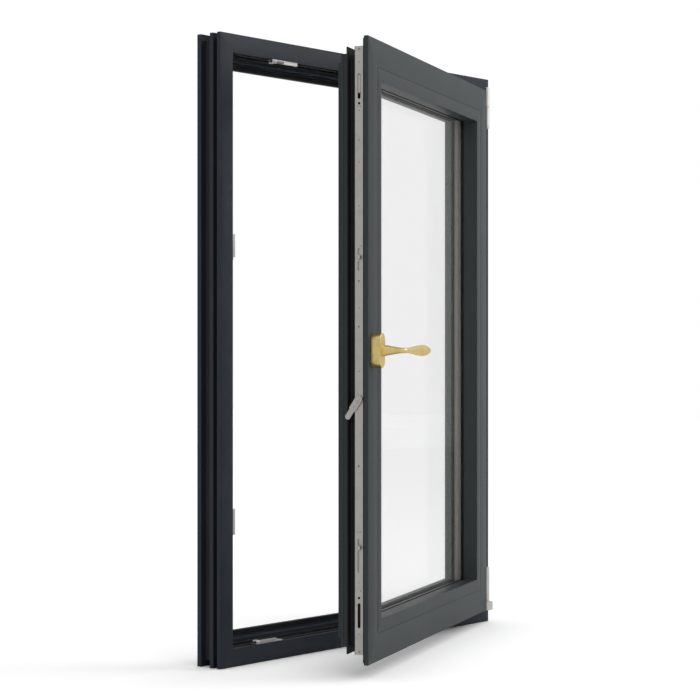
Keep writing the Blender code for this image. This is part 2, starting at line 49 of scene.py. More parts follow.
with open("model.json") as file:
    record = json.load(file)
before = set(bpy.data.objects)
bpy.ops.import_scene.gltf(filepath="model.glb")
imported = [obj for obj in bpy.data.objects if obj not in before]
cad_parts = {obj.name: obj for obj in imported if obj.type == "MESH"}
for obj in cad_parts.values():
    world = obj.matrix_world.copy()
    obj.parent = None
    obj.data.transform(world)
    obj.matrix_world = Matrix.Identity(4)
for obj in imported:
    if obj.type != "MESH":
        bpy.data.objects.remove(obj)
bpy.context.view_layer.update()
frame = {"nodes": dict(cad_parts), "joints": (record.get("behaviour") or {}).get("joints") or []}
SIDES = ("left", "right", "head", "sill")


# ------------------------------------------------------------------ places from the frame
def joint(name):
    return next(j for j in frame["joints"] if j["name"] == name)


def node_box(name):
    """A node's corners in millimetres."""
    low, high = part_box(name)
    return np.array(low) * 1000.0, np.array(high) * 1000.0


IN_LOW = node_box("frame_inner_left")[0]
HALF_WIDTH = -IN_LOW[0]
HEIGHT = node_box("frame_outer_head")[1][2]
ROOM_FACE = IN_LOW[1]                       # where y = 0 of the closed window lies
MID = HEIGHT / 2
AXIS = np.array(joint("sash_swing")["pos_m"]) * 1000.0 - (0.0, ROOM_FACE, 0.0)
OPEN = math.radians(-joint("sash_swing")["range_deg"][0])

MARGIN = 35.0                               # frame face left showing round the sash
SASH_Y = -15.0
SASH_LEFT = -HALF_WIDTH + MARGIN
SASH_RIGHT = HALF_WIDTH - MARGIN
FRAME_RECT = (-HALF_WIDTH, HALF_WIDTH, 0.0, HEIGHT)
SASH_RECT = (SASH_LEFT, SASH_RIGHT, MARGIN, HEIGHT - MARGIN)
HANDLE_S = 32.0
ROSETTE_DEPTH = 24.0
LEVER_GAP = 0.3
CAM_E = 29.0                                # the cams' depth behind the sash face
CAM_RUN = {"head_rod": 214.0, "sill_rod": 206.0}    # and place along the width, when open
ROD_REACH = 560.0                           # half the length of the drive rod
SAFETY_E = 33.5
SAFETY_Z = -118.0
SAFETY_TILT = math.radians(33.0)
FACEPLATE_SCREWS = (688, -688)              # heights from the middle of the window
RIVETS = ((658, 29), (557, 26), (557, 32), (548, 29), (238, 24), (97, 29), (-48, 29),
          (-415, 26), (-415, 32), (-530, 29), (-549, 26), (-648, 29), (330, 29), (430, 29),
          (480, 29))                        # height from the middle, and depth
CAMERA_PLACE = (-3.835, -3.174, 0.751)
CAMERA_TURN = (90.0, 0.0, -49.98)           # degrees
KEY_PLACE = (2.6, -3.4, 3.0)
KEY_SIZE = 2.6
LOOKED_AT = (0.0, 0.0, 0.75)                # the middle of the window
SKY_BRIGHTEST = (0.08, -0.80, 0.60)
FLOOR_REACH = 14.0
FLOOR_DROP = 0.0005
GLASS_PASSES = 0.972                        # of the light, at each surface

# ------------------------------------------------------------------ sections, in millimetres
FRAME_ROOM = [(0, 0), (43.5, 0), (43.5, 2.4), (42.7, 3.0), (42.7, 3.8), (43.5, 4.4), (43.5, 9.5),
              (39, 9.5), (39, 11), (36, 11), (36, 24), (39, 24), (39, 25.5), (43.5, 25.5),
              (43.5, 34.8), (0, 34.8), (0, 23.4), (2, 23.4), (2, 25), (14.5, 25), (14.5, 9.5),
              (2, 9.5), (2, 11.1), (0, 11.1)]
FRAME_OUTDOOR = [(18.3, 50), (56, 50), (56, 53), (54.8, 54), (54.8, 56), (56, 57), (56, 67),
                 (74, 67), (74, 76), (0, 76), (0, 62.9), (2, 62.9), (2, 64.5), (18.3, 64.5)]
FRAME_BREAK = [(14.5, 35.1), (44, 35.1), (44, 49.7), (18, 49.7), (18, 64.2), (14.5, 64.2),
               (14.5, 56), (15.4, 55.2), (15.4, 53.8), (14.5, 53), (14.5, 46), (15.4, 45.2),
               (15.4, 43.8), (14.5, 43)]
CENTRE_GASKET = [(44.3, 35.6), (46.2, 35.6), (48.4, 36.4), (50.6, 38.5), (50.6, 40.4),
                 (49.2, 41.2), (47.6, 40.2), (46.4, 41.6), (46.8, 45), (46.8, 49.4), (44.3, 49.4)]
STOP_GASKET = [(62, 65.2), (65, 64.2), (67, 65.0), (69.5, 64.2), (72.5, 64.2), (73.5, 66.7),
               (62, 66.7)]
SASH_ROOM = [(0, 0), (63.5, 0), (63.5, 40), (20, 40), (20, 39), (22.8, 39), (22.8, 34.4),
             (33, 34.4), (33, 23.6), (22.8, 23.6), (22.8, 18.7), (20, 18.7), (20, 14.6),
             (19.2, 14), (19.2, 13), (20, 12.4), (20, 10), (9.4, 10), (9.4, 10.9), (10.2, 11.4),
             (8.4, 11.4), (8.4, 10), (2.8, 10), (2.8, 11.2), (1.4, 11.2), (1.4, 10), (0, 10)]
SASH_BREAK = [(42, 40.3), (66, 40.3), (66, 59.7), (20, 59.7), (20, 57), (42, 57), (42, 53),
              (42.9, 52.2), (42.9, 50.8), (42, 50)]
SASH_OUTDOOR = [(34, 60), (68, 60), (68, 75.3), (94.5, 75.3), (94.5, 91), (52, 91), (52, 84.4),
                (52.9, 83.8), (52.9, 82.6), (52, 82), (52, 78.5), (34, 78.5), (34, 72),
                (34.9, 71.2), (34.9, 69.8), (34, 69)]
BEAD = [(63.8, 0), (94.5, 0), (94.5, 36), (93, 36), (93, 39), (80, 39), (80, 30), (63.8, 30)]
OVERLAP_GASKET = [(3.1, 10.3), (8.1, 10.3), (8.1, 11.6), (7.4, 13.4), (5.8, 14.6), (4.4, 14.2),
                  (5.6, 12.6), (4.6, 12.0), (3.1, 12.2)]
INNER_GASKET = [(82, 39.3), (93.4, 39.3), (94.9, 40.6), (94.9, 42.7), (82, 42.7)]
OUTER_GASKET = [(80, 71.3), (94.9, 71.3), (94.9, 73.4), (93.4, 75), (80, 75)]
SPACER = [(78.6, 47.1), (87.4, 47.1), (88.5, 48.6), (88.5, 52), (88.0, 57), (88.5, 62),
          (88.5, 65.4), (87.4, 66.9), (78.6, 66.9)]
GLASS_EDGE = 77.0
PANES = {"pane_inner": (43.0, 47.0), "pane_outer": (67.0, 71.0)}


# ------------------------------------------------------------------ settings
def colour(name, text, value):
    return bpy.props.FloatVectorProperty(name=name, description=text, subtype="COLOR", size=3,
                                         min=0.0, max=1.0, default=value)


class CoatSettings(bpy.types.PropertyGroup):
    # Frame and sash share one anthracite powder coat. The frame's copy is darker and bluer as painted
    # shade; the sash's copy is lighter as painted light on its turned face.
    frame_coat_shaded: colour("Frame coat shaded", "Powder coat of the fixed frame", (0.019, 0.024, 0.034))
    sash_coat_lit: colour("Sash coat lit", "Powder coat of the sash and beads", (0.033, 0.041, 0.043))
    break_bar: colour("Thermal break", "Glass-filled polyamide", (0.021, 0.020, 0.023))
    rubber: colour("Rubber", "Gaskets", (0.0045, 0.0045, 0.0048))
    spacer: colour("Spacer", "Bar between the panes", (0.30, 0.285, 0.27))


class MetalSettings(bpy.types.PropertyGroup):
    brass: colour("Brass", "Handle and rosette", (0.84, 0.65, 0.25))
    lock_steel: colour("Lock steel", "Faceplate, keepers and safety lever", (0.52, 0.50, 0.485))
    hinge_steel: colour("Hinge steel", "Hinge sleeves and leaves", (0.66, 0.65, 0.63))
    casting: colour("Casting", "Zinc die castings", (0.34, 0.34, 0.34))


class ShapeSettings(bpy.types.PropertyGroup):
    profile_edge: bpy.props.FloatProperty(
        name="Profile edge", description="Rounding of the profiles' corners",
        default=0.0008, min=0.0001, max=0.002, unit="LENGTH")
    rubber_edge: bpy.props.FloatProperty(
        name="Rubber edge", description="Rounding of the gaskets' corners",
        default=0.0005, min=0.0001, max=0.001, unit="LENGTH")
    lever_steps: bpy.props.IntProperty(
        name="Lever steps", description="Rings along the handle's grip", default=48, min=12, max=96)


class StageSettings(bpy.types.PropertyGroup):
    lens: bpy.props.FloatProperty(name="Lens", description="Camera focal length in millimetres",
                                  default=99.9, min=20.0, max=300.0)
    sky: bpy.props.FloatProperty(name="Sky", description="Light from all round", default=0.8,
                                 min=0.0, max=10.0)
    key: bpy.props.FloatProperty(name="Key", description="Power of the large soft light",
                                 default=45.0, min=0.0, max=5000.0, unit="POWER")
    floor: colour("Floor", "Pale floor", (0.85, 0.85, 0.85))
    glow: bpy.props.FloatProperty(name="Paper white", description="How far the floor is "
                                  "overexposed to the eye", default=1.32, min=0.5, max=10.0)


# ------------------------------------------------------------------ shapes
def settle(points, moving):
    """Closed-window millimetres to metres, turned about the hinge axis if the piece swings."""
    points = np.asarray(points, float).reshape(-1, 3)
    if moving:
        turn = np.array([[math.cos(OPEN), -math.sin(OPEN), 0],
                         [math.sin(OPEN), math.cos(OPEN), 0], [0, 0, 1]])
        points = (points - AXIS * (1, 1, 0)) @ turn.T + AXIS * (1, 1, 0)
    return (points + (0.0, ROOM_FACE, 0.0)) / 1000.0


def quads(rows, cols, wrap_rows=False, wrap_cols=True):
    """Faces of a grid of points, rows by cols, joined round in either direction."""
    r = np.arange(rows if wrap_rows else rows - 1)[:, None]
    c = np.arange(cols if wrap_cols else cols - 1)[None, :]
    up, on = (r + 1) % rows, (c + 1) % cols
    return np.stack([r * cols + c, r * cols + on, up * cols + on, up * cols + c], -1).reshape(-1, 4)


def tube(points, wrap_rows=False):
    """A shell from rings of points (rows, cols, 3): side faces, and end faces if open."""
    rows, cols = points.shape[:2]
    faces = quads(rows, cols, wrap_rows).tolist()
    if not wrap_rows:
        faces += [list(range(cols)), list(range((rows - 1) * cols, rows * cols))]
    return points.reshape(-1, 3), faces


def merge(shells):
    """Several shells as one: the faces of each are counted on from the last."""
    points, faces, base = [], [], 0
    for some, those in shells:
        points.append(some)
        faces += [[i + base for i in f] for f in those]
        base += len(some)
    return np.concatenate(points), faces


def piece(name, shell, body, material, replaces=(), smooth=35.0):
    """A mesh object that rides on a body, at the origin, with its place in its mesh."""
    points, faces = shell
    mesh = bpy.data.meshes.new(name)
    mesh.from_pydata(settle(points, body != "frame").tolist(), [], faces)
    work = bmesh.new()
    work.from_mesh(mesh)
    bmesh.ops.recalc_face_normals(work, faces=work.faces)
    work.to_mesh(mesh)
    work.free()
    mesh.shade_smooth()
    mesh.set_sharp_from_angle(angle=math.radians(smooth))
    made = bpy.data.objects.new(name, mesh)
    bpy.context.collection.objects.link(made)
    made.data.materials.append(material)
    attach(made, body)
    if replaces:
        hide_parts(*replaces)
    return made


def rounded(section, radius, steps=4):
    """A section with every corner swapped for a curve.

    Each corner P, with unit vectors a and b towards its neighbours, becomes
    P + a t (1 - w)^2 + b t w^2 for w from 0 to 1, where t is the radius or, on a short side,
    0.42 of that side.
    """
    corner = np.asarray(section, float)
    back, ahead = np.roll(corner, 1, 0) - corner, np.roll(corner, -1, 0) - corner
    len_back = np.linalg.norm(back, axis=1, keepdims=True)
    len_ahead = np.linalg.norm(ahead, axis=1, keepdims=True)
    reach = np.minimum(radius, 0.42 * np.minimum(len_back, len_ahead))[:, None]
    w = np.linspace(0, 1, steps)[None, :, None]
    curve = (corner[:, None] + (back / len_back)[:, None] * reach * (1 - w) ** 2
             + (ahead / len_ahead)[:, None] * reach * w ** 2)
    return curve.reshape(-1, 2)


def mitred(section, side, rect, y0, gap=0.0):
    """One side of a rectangle: the section carried between two 45 degree mitres."""
    u, d = np.asarray(section).T
    x0, x1, z0, z1 = rect
    run = u + gap
    if side in ("left", "right"):
        across = x0 + u if side == "left" else x1 - u
        rings = [np.stack([across, y0 + d, end], -1) for end in (z0 + run, z1 - run)]
    else:
        level = z1 - u if side == "head" else z0 + u
        rings = [np.stack([end, y0 + d, level], -1) for end in (x0 + run, x1 - run)]
    return tube(np.stack(rings))


def ring(section, rect, y0):
    """The section carried once round a rectangle."""
    u, d = np.asarray(section).T
    x0, x1, z0, z1 = rect
    rings = [np.stack([x, y0 + d, z], -1) for x, z in
             ((x0 + u, z0 + u), (x1 - u, z0 + u), (x1 - u, z1 - u), (x0 + u, z1 - u))]
    return tube(np.stack(rings), wrap_rows=True)


def turned(profile, centre, axis, steps=40):
    """A profile of (radius, height) turned about an axis through centre.

    A point is centre + height axis + radius (cos t a + sin t b), a and b square to the axis.
    """
    radius, height = np.asarray(profile, float).T
    axis = np.asarray(axis, float) / np.linalg.norm(axis)
    a = np.cross(axis, (0.0, 0.0, 1.0) if abs(axis[2]) < 0.9 else (1.0, 0.0, 0.0))
    a /= np.linalg.norm(a)
    b = np.cross(axis, a)
    t = np.linspace(0, 2 * np.pi, steps, endpoint=False)
    circle = np.cos(t)[:, None] * a + np.sin(t)[:, None] * b
    points = (np.asarray(centre, float) + height[:, None, None] * axis
              + radius[:, None, None] * circle[None])
    return tube(points)


def slab(outline, base, rise, edge, place):
    """A flat plate with softened rims: the outline pulled in by edge at both faces.

    The outline is (a, b); place(a, b, h) gives the point at height h above the plate's back.
    """
    outline = np.asarray(outline, float)
    middle = outline.mean(0)
    towards = outline - middle
    size = np.abs(towards).max(0)
    inner = middle + towards * (1 - edge / size)
    levels = ((inner, base), (outline, base + edge), (outline, rise - edge), (inner, rise))
    rings = [place(ring_[:, 0], ring_[:, 1], np.full(len(ring_), h)) for ring_, h in levels]
    return tube(np.stack([np.stack(r, -1) for r in rings]))


def oval(width, height, steps=40):
    """A stadium: the half-circles of a circle pulled apart along the long way."""
    t = np.linspace(0, 2 * np.pi, 2 * steps, endpoint=False) + np.pi / (2 * steps)
    radius = width / 2
    return np.stack([radius * np.cos(t), radius * np.sin(t)
                     + np.sign(np.sin(t)) * (height / 2 - radius)], -1)


def screw_head(centre, normal, radius, rise):
    """A pan head with a cross recess: h = rise (1 - 0.55 q^2) less the cross, q = r / radius.

    The cross is one smooth step across each arm, where |x| or |y| is under an eighth of the
    head, inside 0.62 of its radius.
    """
    q = np.linspace(0.02, 1, 16)[:, None]
    t = np.linspace(0, 2 * np.pi, 48, endpoint=False)[None, :]
    x, y = q * np.cos(t), q * np.sin(t)
    arm = np.clip((0.15 - np.minimum(abs(x), abs(y))) / 0.05, 0, 1)
    cross = arm * np.clip((0.62 - q) / 0.08, 0, 1)
    height = rise * (1 - 0.55 * q ** 2 - 0.75 * cross)
    height[-1] = 0.0
    normal = np.asarray(normal, float) / np.linalg.norm(normal)
    a = np.cross(normal, (0.0, 0.0, 1.0) if abs(normal[2]) < 0.9 else (1.0, 0.0, 0.0))
    a /= np.linalg.norm(a)
    b = np.cross(normal, a)
    points = (np.asarray(centre, float) + (x * radius)[..., None] * a + (y * radius)[..., None] * b
              + height[..., None] * normal)
    return tube(points)


# ------------------------------------------------------------------ shader groups
def group(name, inputs, outputs):
    """A shader node group with named sockets, and its input and output nodes."""
    made = bpy.data.node_groups.new(name, "ShaderNodeTree")
    for label, kind, value in inputs:
        socket = made.interface.new_socket(name=label, in_out="INPUT", socket_type=kind)
        socket.default_value = value
    for label, kind in outputs:
        made.interface.new_socket(name=label, in_out="OUTPUT", socket_type=kind)
    return made, made.nodes.new("NodeGroupInput"), made.nodes.new("NodeGroupOutput")


def feed(tree, source, target):
    """A link where the source is a socket, and else a value set on the target."""
    if isinstance(source, bpy.types.NodeSocket):
        tree.links.new(source, target)
    else:
        target.default_value = source


def node(tree, kind, **values):
    """A node with attributes set by name, and inputs fed by names that start with a capital."""
    made = tree.nodes.new(kind)
    for key, value in values.items():
        if key[0].isupper():
            feed(tree, value, made.inputs[key.replace("_", " ")])
        else:
            setattr(made, key, value)
    return made


def maths(tree, operation, *terms):
    made = node(tree, "ShaderNodeMath", operation=operation)
    for socket, term in zip(made.inputs, terms):
        feed(tree, term, socket)
    return made.outputs[0]


def mixed(tree, factor, a, b, blend="MIX"):
    return node(tree, "ShaderNodeMix", data_type="RGBA", blend_type=blend, Factor=factor, A=a,
                B=b).outputs["Result"]


def spread(tree, value, low, high, start, end):
    """The value carried from the range low to high to the range start to end."""
    return node(tree, "ShaderNodeMapRange", Value=value, From_Min=low, From_Max=high,
                To_Min=start, To_Max=end).outputs["Result"]


def shaded(tree, share, one, other):
    """Two shaders mixed: the first where the share is 0, the other where it is 1."""
    mix = node(tree, "ShaderNodeMixShader")
    for source, socket in zip((share, one.outputs[0], other.outputs[0]), mix.inputs):
        feed(tree, source, socket)
    return mix.outputs[0]


GRAIN_OUT = [("Colour", "NodeSocketColor"), ("Roughness", "NodeSocketFloat"),
             ("Height", "NodeSocketFloat")]


def powder_grain():
    """Orange-peel and pigment flecks of a baked powder coat."""
    if "Powder grain" in bpy.data.node_groups:
        return bpy.data.node_groups["Powder grain"]
    tree, given, out = group(
        "Powder grain",
        [("Colour", "NodeSocketColor", (0.1, 0.1, 0.1, 1)), ("Fleck", "NodeSocketFloat", 0.3),
         ("Roughness", "NodeSocketFloat", 0.4), ("Dust", "NodeSocketFloat", 0.1)], GRAIN_OUT)
    where = node(tree, "ShaderNodeTexCoord").outputs["Object"]
    peel = node(tree, "ShaderNodeTexNoise", Vector=where, Scale=900.0, Detail=3.0, Roughness=0.6)
    fleck = node(tree, "ShaderNodeTexVoronoi", Vector=where, feature="F1", Scale=2600.0)
    cloud = node(tree, "ShaderNodeTexNoise", Vector=where, Scale=7.0, Detail=4.0, Roughness=0.55)
    spark = spread(tree, fleck.outputs["Distance"], 0.0, 0.32, 1.0, 0.0)
    share = maths(tree, "MULTIPLY", spark, given.outputs["Fleck"])
    lighter = mixed(tree, 0.02, given.outputs["Colour"], (0.8, 0.85, 0.9, 1), "ADD")
    flecked = mixed(tree, share, given.outputs["Colour"], lighter)
    haze = spread(tree, cloud.outputs["Fac"], 0.45, 0.75, 0.0, 1.0)
    dusty = maths(tree, "MULTIPLY", haze, given.outputs["Dust"])
    feed(tree, mixed(tree, dusty, flecked, (0.16, 0.16, 0.155, 1)), out.inputs["Colour"])
    vary = maths(tree, "MULTIPLY_ADD", cloud.outputs["Fac"], 0.12, given.outputs["Roughness"])
    feed(tree, vary, out.inputs["Roughness"])
    feed(tree, peel.outputs["Fac"], out.inputs["Height"])
    return tree


def brush_grain():
    """Fine lines drawn along one direction, with a little smear and tarnish."""
    if "Brush grain" in bpy.data.node_groups:
        return bpy.data.node_groups["Brush grain"]
    tree, given, out = group(
        "Brush grain",
        [("Colour", "NodeSocketColor", (0.5, 0.5, 0.5, 1)), ("Stretch", "NodeSocketVector", (1, 1, 1)),
         ("Contrast", "NodeSocketFloat", 0.2), ("Roughness", "NodeSocketFloat", 0.3),
         ("Tarnish", "NodeSocketFloat", 0.2)], GRAIN_OUT)
    where = node(tree, "ShaderNodeTexCoord").outputs["Object"]
    pull = node(tree, "ShaderNodeVectorMath", operation="MULTIPLY")
    feed(tree, where, pull.inputs[0])
    feed(tree, given.outputs["Stretch"], pull.inputs[1])
    lines = node(tree, "ShaderNodeTexNoise", Vector=pull.outputs[0], Scale=1.0, Detail=5.0,
                 Roughness=0.7)
    smear = node(tree, "ShaderNodeTexNoise", Vector=where, Scale=38.0, Detail=4.0, Roughness=0.6)
    tone = spread(tree, lines.outputs["Fac"], 0.25, 0.75, 1.0, 0.55)
    lined = mixed(tree, given.outputs["Contrast"], given.outputs["Colour"], tone, "MULTIPLY")
    dull = spread(tree, smear.outputs["Fac"], 0.5, 0.8, 0.0, 1.0)
    share = maths(tree, "MULTIPLY", dull, given.outputs["Tarnish"])
    feed(tree, mixed(tree, share, lined, (0.55, 0.5, 0.45, 1), "MULTIPLY"), out.inputs["Colour"])
    rough = maths(tree, "MULTIPLY_ADD", smear.outputs["Fac"], 0.22, given.outputs["Roughness"])
    feed(tree, rough, out.inputs["Roughness"])
    feed(tree, lines.outputs["Fac"], out.inputs["Height"])
    return tree


# ------------------------------------------------------------------ materials
def finished(name, grain, values, bump, shader_values):
    """A material: a grain group into a Principled shader, its height through a Bump."""
    if name in bpy.data.materials:
        return bpy.data.materials[name]
    made = bpy.data.materials.new(name)
    made.use_nodes = True
    tree = made.node_tree
    shader = tree.nodes["Principled BSDF"]
    for key, value in shader_values.items():
        shader.inputs[key].default_value = value
    look = node(tree, "ShaderNodeGroup", node_tree=grain, **values)
    relief = node(tree, "ShaderNodeBump", Strength=bump[0], Distance=bump[1],
                  Height=look.outputs["Height"])
    feed(tree, relief.outputs["Normal"], shader.inputs["Normal"])
    feed(tree, look.outputs["Colour"], shader.inputs["Base Color"])
    feed(tree, look.outputs["Roughness"], shader.inputs["Roughness"])
    return made


def coat(name, tint, rough=0.36, dust=0.02):
    return finished(name, powder_grain(),
                    {"Colour": (*tint, 1), "Fleck": 0.5, "Roughness": rough, "Dust": dust},
                    (0.22, 0.0002), {"Specular IOR Level": 0.18})


def rubber():
    tint = bpy.context.scene.window_coats.rubber
    return finished("Gasket rubber", powder_grain(),
                    {"Colour": (*tint, 1), "Fleck": 0.1, "Roughness": 0.58, "Dust": 0.05},
                    (0.3, 0.0002), {"Specular IOR Level": 0.2})


def break_bar():
    tint = bpy.context.scene.window_coats.break_bar
    return finished("Thermal break", powder_grain(),
                    {"Colour": (*tint, 1), "Fleck": 0.6, "Roughness": 0.5, "Dust": 0.03},
                    (0.3, 0.0002), {"Specular IOR Level": 0.25})


def metal(name, tint, stretch, rough, tarnish=0.25, contrast=0.3, bump=0.12):
    return finished(name, brush_grain(),
                    {"Colour": (*tint, 1), "Stretch": stretch, "Contrast": contrast,
                     "Roughness": rough, "Tarnish": tarnish}, (bump, 0.0001), {"Metallic": 1.0})


def lock_steel():
    return metal("Lock steel", bpy.context.scene.window_metals.lock_steel, (2600, 2600, 60), 0.34)


def hinge_steel():
    return metal("Hinge steel", bpy.context.scene.window_metals.hinge_steel, (1800, 1800, 260), 0.26)


def casting():
    return metal("Zinc casting", bpy.context.scene.window_metals.casting, (700, 700, 700), 0.42)


def brass():
    return metal("Brushed brass", bpy.context.scene.window_metals.brass, (500, 500, 2400), 0.2,
                 tarnish=0.6, contrast=0.3, bump=0.14)


# One powder coat in two tones: the frame's copy darker and bluer as painted shade, the sash's copy
# lighter as painted light.
def frame_coat_shaded():
    return coat("Frame coat shaded", bpy.context.scene.window_coats.frame_coat_shaded)


def sash_coat_lit():
    return coat("Sash coat lit", bpy.context.scene.window_coats.sash_coat_lit)


def spacer_bar():
    tint = bpy.context.scene.window_coats.spacer
    return metal("Spacer bar", tint, (900, 900, 900), 0.5, tarnish=0.1)


def packer():
    return finished("Glazing packer", powder_grain(),
                    {"Colour": (0.02, 0.02, 0.022, 1), "Fleck": 0.2, "Roughness": 0.5,
                     "Dust": 0.05}, (0.2, 0.0002), {})


def glass():
    """Clear float glass: faint green, mostly passed straight through."""
    if "Float glass" in bpy.data.materials:
        return bpy.data.materials["Float glass"]
    made = bpy.data.materials.new("Float glass")
    made.use_nodes = True
    tree = made.node_tree
    shader = tree.nodes["Principled BSDF"]
    shader.inputs["Transmission Weight"].default_value = 1.0
    shader.inputs["IOR"].default_value = 1.5
    shader.inputs["Alpha"].default_value = 0.08
    where = node(tree, "ShaderNodeTexCoord").outputs["Object"]
    film = node(tree, "ShaderNodeTexNoise", Vector=where, Scale=3.0, Detail=4.0, Roughness=0.5)
    feed(tree, mixed(tree, film.outputs["Fac"], (0.93, 0.97, 0.955, 1), (0.90, 0.94, 0.93, 1)),
         shader.inputs["Base Color"])
    shader.inputs["Roughness"].default_value = 0.0
    return made


# ------------------------------------------------------------------ operators
class WindowBuilder:
    """What every operator here shares."""
    bl_options = {"REGISTER", "UNDO"}

    @property
    def edge(self):
        return bpy.context.scene.window_shapes.profile_edge * 1000.0

    @property
    def soft_edge(self):
        return bpy.context.scene.window_shapes.rubber_edge * 1000.0


class WINDOW_OT_frame_profiles(WindowBuilder, bpy.types.Operator):
    """Fixed frame: room-side and outdoor profiles, mitred, and the thermal break between them"""
    bl_idname = "window.frame_profiles"
    bl_label = "Frame profiles"

    def execute(self, context):
        for side in SIDES:
            for label, section in (("inner", FRAME_ROOM), ("outer", FRAME_OUTDOOR)):
                node_name = f"frame_{label}_{side}"
                piece(f"{node_name}_profile",
                      mitred(rounded(section, self.edge), side, FRAME_RECT, 0.0),
                      "frame", frame_coat_shaded(), [node_name], 12.0)
        piece("frame_break_bars", ring(rounded(FRAME_BREAK, 0.3), FRAME_RECT, 0.0), "frame",
              break_bar(), ["frame_thermal_break"])
        return {"FINISHED"}


class WINDOW_OT_sash_profiles(WindowBuilder, bpy.types.Operator):
    """Sash: room-side and outdoor profiles, glazing beads and thermal break"""
    bl_idname = "window.sash_profiles"
    bl_label = "Sash profiles"

    def execute(self, context):
        for side in SIDES:
            for label, section in (("sash_inner", SASH_ROOM), ("sash_outer", SASH_OUTDOOR),
                                   ("glazing_bead", BEAD)):
                node_name = f"{label}_{side}"
                piece(f"{node_name}_profile",
                      mitred(rounded(section, self.edge), side, SASH_RECT, SASH_Y),
                      "sash", sash_coat_lit(), [node_name], 12.0)
        piece("sash_break_bars", ring(rounded(SASH_BREAK, 0.3), SASH_RECT, SASH_Y), "sash",
              break_bar(), ["sash_thermal_break"])
        return {"FINISHED"}


class WINDOW_OT_gaskets(WindowBuilder, bpy.types.Operator):
    """Rubber seals of the frame, the sash and the glass"""
    bl_idname = "window.gaskets"
    bl_label = "Gaskets"

    def execute(self, context):
        for name, section, rect, y0, body, node_name in (
                ("centre_seal", CENTRE_GASKET, FRAME_RECT, 0.0, "frame", "frame_centre_gasket"),
                ("stop_seal", STOP_GASKET, FRAME_RECT, 0.0, "frame", "frame_stop_gasket"),
                ("overlap_seal", OVERLAP_GASKET, SASH_RECT, SASH_Y, "sash", "sash_overlap_gasket"),
                ("glazing_seal_inner", INNER_GASKET, SASH_RECT, SASH_Y, "sash",
                 "glazing_gasket_inner"),
                ("glazing_seal_outer", OUTER_GASKET, SASH_RECT, SASH_Y, "sash",
                 "glazing_gasket_outer")):
            piece(name, ring(rounded(section, self.soft_edge), rect, y0), body,
                  rubber(), [node_name])
        return {"FINISHED"}


class WINDOW_OT_glass_unit(WindowBuilder, bpy.types.Operator):
    """Two panes with ground edges, and the spacer bar that holds them apart"""
    bl_idname = "window.glass_unit"
    bl_label = "Glass unit"

    def execute(self, context):
        x0, x1, z0, z1 = (SASH_LEFT + GLASS_EDGE, SASH_RIGHT - GLASS_EDGE,
                          MARGIN + GLASS_EDGE, HEIGHT - MARGIN - GLASS_EDGE)
        arris = 0.6
        for name, (near, far) in PANES.items():
            rings = []
            for inset, depth in ((arris, near), (0, near + arris), (0, far - arris), (arris, far)):
                xs = np.array([x0 + inset, x1 - inset, x1 - inset, x0 + inset])
                zs = np.array([z0 + inset, z0 + inset, z1 - inset, z1 - inset])
                rings.append(np.stack([xs, np.full(4, SASH_Y + depth), zs], -1))
            piece(name + "_glass", tube(np.stack(rings)), "sash", glass(), [name])
        piece("spacer_bar", ring(rounded(SPACER, 0.5), SASH_RECT, SASH_Y), "sash",
              spacer_bar(), ["pane_spacer"])
        return {"FINISHED"}


PADDLE = 0.66                               # the grip is widest at this share of its length


def lever_spine(steps):
    """Centre, direction, half height and half thickness along the handle.

    The neck runs out square to the sash and narrows, a quarter circle turns it, and the grip
    runs along the sash: its half height is 5.6 + 7.2 sin^2, rounded off by an ellipse at the tip.
    """
    root = -ROSETTE_DEPTH - LEVER_GAP
    bend, depth, slope, length = 12.0, -76.0, math.radians(7.5), 133.0
    t = np.linspace(0, 1, 20)
    neck = np.stack([0 * t, root + (depth + bend - root) * t, 0 * t, 0 * t - 1,
                     14.3 - 7.6 * t ** 0.8, 9.5 - 3.2 * t], -1)
    a = np.radians(84) * np.linspace(0, 1, 19)[1:]
    k = np.linspace(0, 6, 19)[1:]
    turn = np.stack([bend * (1 - np.cos(a)), depth + bend - bend * np.sin(a), np.sin(a), -np.cos(a),
                     6.6 - 0.1 * k, 6.3 - 0.2 * k], -1)
    start = turn[-1]
    t = np.linspace(0, 1, steps + 1)[1:]
    reach = length * np.sin(t * np.pi / 2) ** 0.9
    along = reach / length
    swell = 5.6 + 7.2 * np.sin(np.pi / 2 * np.minimum(along / PADDLE, 1.0)) ** 2
    tip = np.sqrt(np.maximum(1 - (np.maximum(along - PADDLE, 0) / (1 - PADDLE)) ** 2, 0.0))
    grip = np.stack([start[0] + reach * math.cos(slope), start[1] - reach * math.sin(slope),
                     0 * t + math.cos(slope), 0 * t - math.sin(slope),
                     np.maximum(swell * tip, 0.4),
                     np.maximum((5.0 - 0.8 * along) * (0.25 + 0.75 * tip), 0.4)], -1)
    return np.concatenate([neck, turn, grip])


